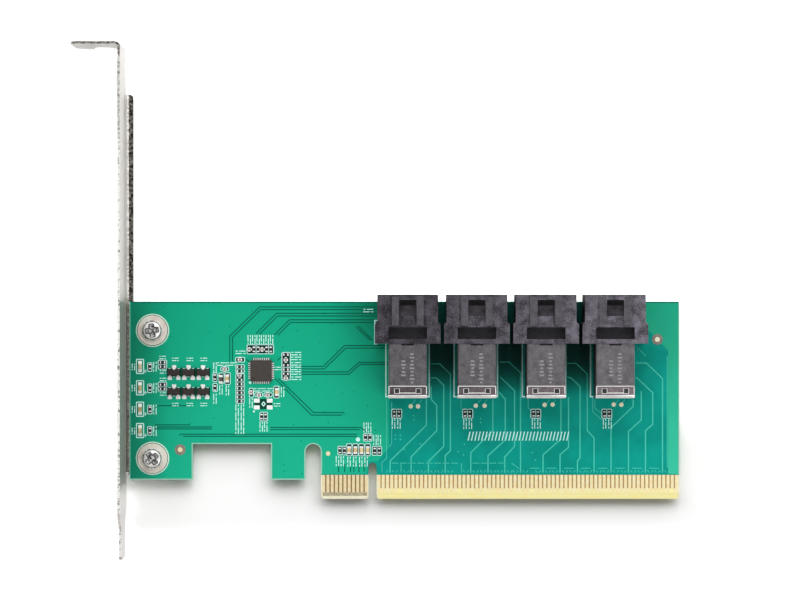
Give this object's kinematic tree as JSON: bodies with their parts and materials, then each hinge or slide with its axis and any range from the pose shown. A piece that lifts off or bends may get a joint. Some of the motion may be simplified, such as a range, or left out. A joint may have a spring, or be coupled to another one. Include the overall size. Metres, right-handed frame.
{
  "type": "expansion adapter card",
  "caption": "Full-height expansion card: green board with a gold contact edge, steel end bracket and a row of dark right-angle cable ports along its top edge.",
  "frame": {"origin": "middle of the key notch, on the contact edge, half way through the board", "axes": "+X along the contact edge away from the bracket, +Y from the contact edge to the top edge, +Z out of the component side; the card lies on its solder side"},
  "size_m": [0.1418, 0.12, 0.0191],
  "materials": {
    "board": "glossy green solder mask",
    "gold": "hard gold plate",
    "steel": "plain plated sheet",
    "screw_steel": "bright plated",
    "port_plastic": "fine moulded grain",
    "cover_plastic": "fine moulded grain",
    "clip_steel": "stamped, satin",
    "package": "moulded epoxy",
    "tin": "tinned",
    "lamp_lens": "clear resin",
    "lamp_base": "laminate",
    "resistor": "glazed black film",
    "capacitor": "fired, matt",
    "bead": "fired, matt"
  },
  "bodies": {
    "root": {"bracket_screws": "screw_steel", "ceramic_capacitor_caps": "tin", "ceramic_capacitors": "capacitor", "chip_resistors": "resistor", "circuit_board": "board", "clock_chip": "package", "clock_chip_terminals": "tin", "edge_contacts_back": "gold", "edge_contacts_front": "gold", "ferrite_bead": "bead", "ferrite_bead_caps": "tin", "mounting_bracket": "steel", "port_1_contact_block": "port_plastic", "port_1_contacts": "gold", "port_1_rear_clip": "clip_steel", "port_1_rear_cover": "cover_plastic", "port_1_shroud": "port_plastic", "port_2_contact_block": "port_plastic", "port_2_contacts": "gold", "port_2_rear_clip": "clip_steel", "port_2_rear_cover": "cover_plastic", "port_2_shroud": "port_plastic", "port_3_contact_block": "port_plastic", "port_3_contacts": "gold", "port_3_rear_clip": "clip_steel", "port_3_rear_cover": "cover_plastic", "port_3_shroud": "port_plastic", "port_4_contact_block": "port_plastic", "port_4_contacts": "gold", "port_4_rear_clip": "clip_steel", "port_4_rear_cover": "cover_plastic", "port_4_shroud": "port_plastic", "screw_washers": "screw_steel", "status_lamp_1": "lamp_lens", "status_lamp_2": "lamp_lens", "status_lamp_3": "lamp_lens", "status_lamp_4": "lamp_lens", "status_lamp_bases": "lamp_base", "transistor_1": "package", "transistor_2": "package", "transistor_3": "package", "transistor_4": "package", "transistor_5": "package", "transistor_6": "package", "transistor_leads": "tin"}
  },
  "joints": []
}
